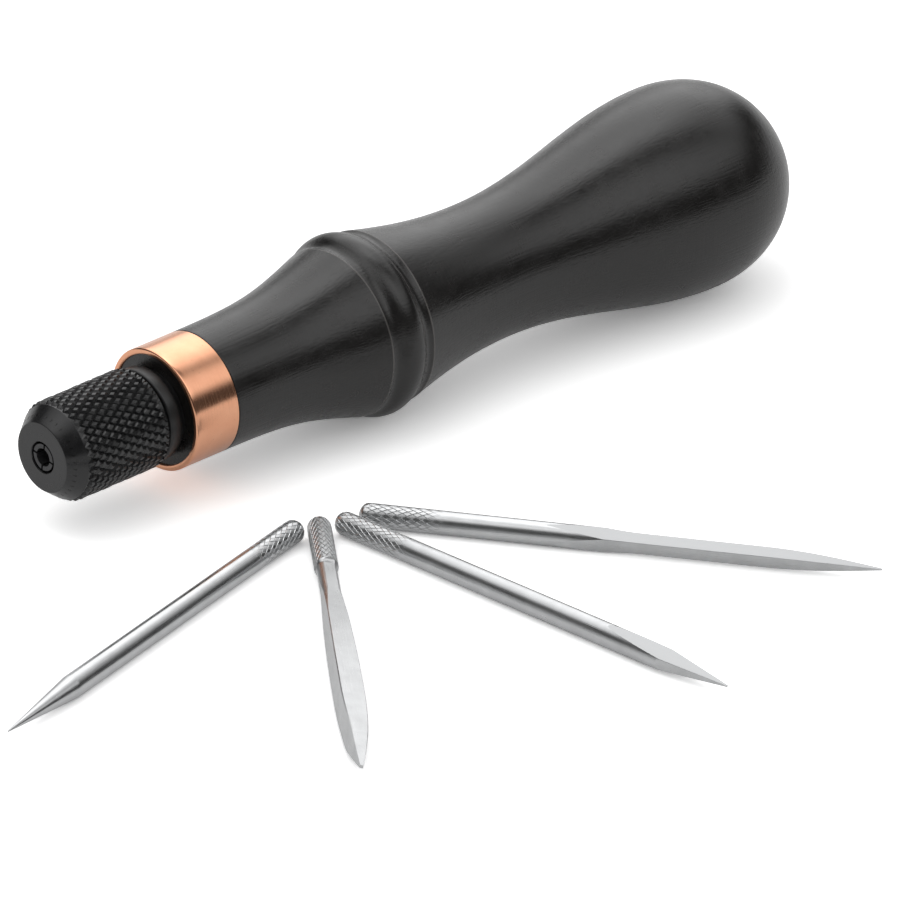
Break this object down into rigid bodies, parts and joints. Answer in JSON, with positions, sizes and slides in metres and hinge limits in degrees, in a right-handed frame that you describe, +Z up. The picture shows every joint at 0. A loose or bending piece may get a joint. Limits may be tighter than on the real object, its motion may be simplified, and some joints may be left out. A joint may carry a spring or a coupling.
{
  "type": "bradawl",
  "caption": "Turned black wooden awl handle with a copper ferrule and a knurled collet chuck, lying beside its loose ground-steel blades.",
  "frame": {"origin": "middle of the set's footprint on the surface it lies on", "axes": "+X along the handle, from the chuck to the bulb; +Z up; the blades lie on the -Y side"},
  "size_m": [0.2018, 0.1278, 0.0341],
  "materials": {
    "ebonised_wood": "satin black",
    "copper": "turned and polished copper",
    "black_steel": "black oxide",
    "collet_steel": "black oxide",
    "blade_steel": "ground and polished"
  },
  "bodies": {
    "handle": {"handle": "ebonised_wood", "ferrule": "copper", "chuck_body": "black_steel"},
    "collet": {"collet_ring": "collet_steel"},
    "nut": {"chuck_nut": "black_steel"},
    "jaw_1": {"collet_jaw_1": "collet_steel"},
    "jaw_2": {"collet_jaw_2": "collet_steel"},
    "jaw_3": {"collet_jaw_3": "collet_steel"},
    "jaw_4": {"collet_jaw_4": "collet_steel"},
    "round_awl": {"round_awl": "blade_steel"},
    "leaf_blade": {"leaf_blade": "blade_steel"},
    "spear_blade": {"spear_blade": "blade_steel"},
    "square_blade": {"square_blade": "blade_steel"}
  },
  "joints": [
    {"name": "nut_turn", "type": "hinge", "parent": "handle", "child": "collet", "pos_m": [-0.05108, 0.04683, 0.01318], "axis": [-0.9996, 0, -0.029], "range_deg": [0, 1080.5]},
    {"name": "nut_travel", "type": "slide", "parent": "collet", "child": "nut", "axis": [-0.9996, 0, -0.029], "range_m": [0, 0.003]},
    {"name": "jaw_1_swing", "type": "hinge", "parent": "collet", "child": "jaw_1", "pos_m": [-0.03574, 0.04923, 0.01199], "axis": [0.024, -0.5635, -0.8258], "range_deg": [0, 1.89]},
    {"name": "jaw_2_swing", "type": "hinge", "parent": "collet", "child": "jaw_2", "pos_m": [-0.03586, 0.04847, 0.01601], "axis": [0.0164, 0.8261, -0.5633], "range_deg": [0, 1.89]},
    {"name": "jaw_3_swing", "type": "hinge", "parent": "collet", "child": "jaw_3", "pos_m": [-0.03584, 0.04444, 0.01525], "axis": [-0.024, 0.5635, 0.8258], "range_deg": [0, 1.89]},
    {"name": "jaw_4_swing", "type": "hinge", "parent": "collet", "child": "jaw_4", "pos_m": [-0.03572, 0.0452, 0.01122], "axis": [-0.0164, -0.8261, 0.5633], "range_deg": [0, 1.89]},
    {"name": "round_awl_lift", "type": "slide", "parent": "handle", "child": "round_awl", "axis": [0, 0, 1], "range_m": [0, 0.05]},
    {"name": "leaf_blade_lift", "type": "slide", "parent": "handle", "child": "leaf_blade", "axis": [0, 0, 1], "range_m": [0, 0.05]},
    {"name": "spear_blade_lift", "type": "slide", "parent": "handle", "child": "spear_blade", "axis": [0, 0, 1], "range_m": [0, 0.05]},
    {"name": "square_blade_lift", "type": "slide", "parent": "handle", "child": "square_blade", "axis": [0, 0, 1], "range_m": [0, 0.05]}
  ],
  "couplings": [
    {"joint": "nut_turn", "follows": "nut_travel", "rad_per_m": 6283.2},
    {"joint": "jaw_1_swing", "follows": "nut_travel", "rad_per_m": 11.003},
    {"joint": "jaw_2_swing", "follows": "nut_travel", "rad_per_m": 11.003},
    {"joint": "jaw_3_swing", "follows": "nut_travel", "rad_per_m": 11.003},
    {"joint": "jaw_4_swing", "follows": "nut_travel", "rad_per_m": 11.003}
  ]
}
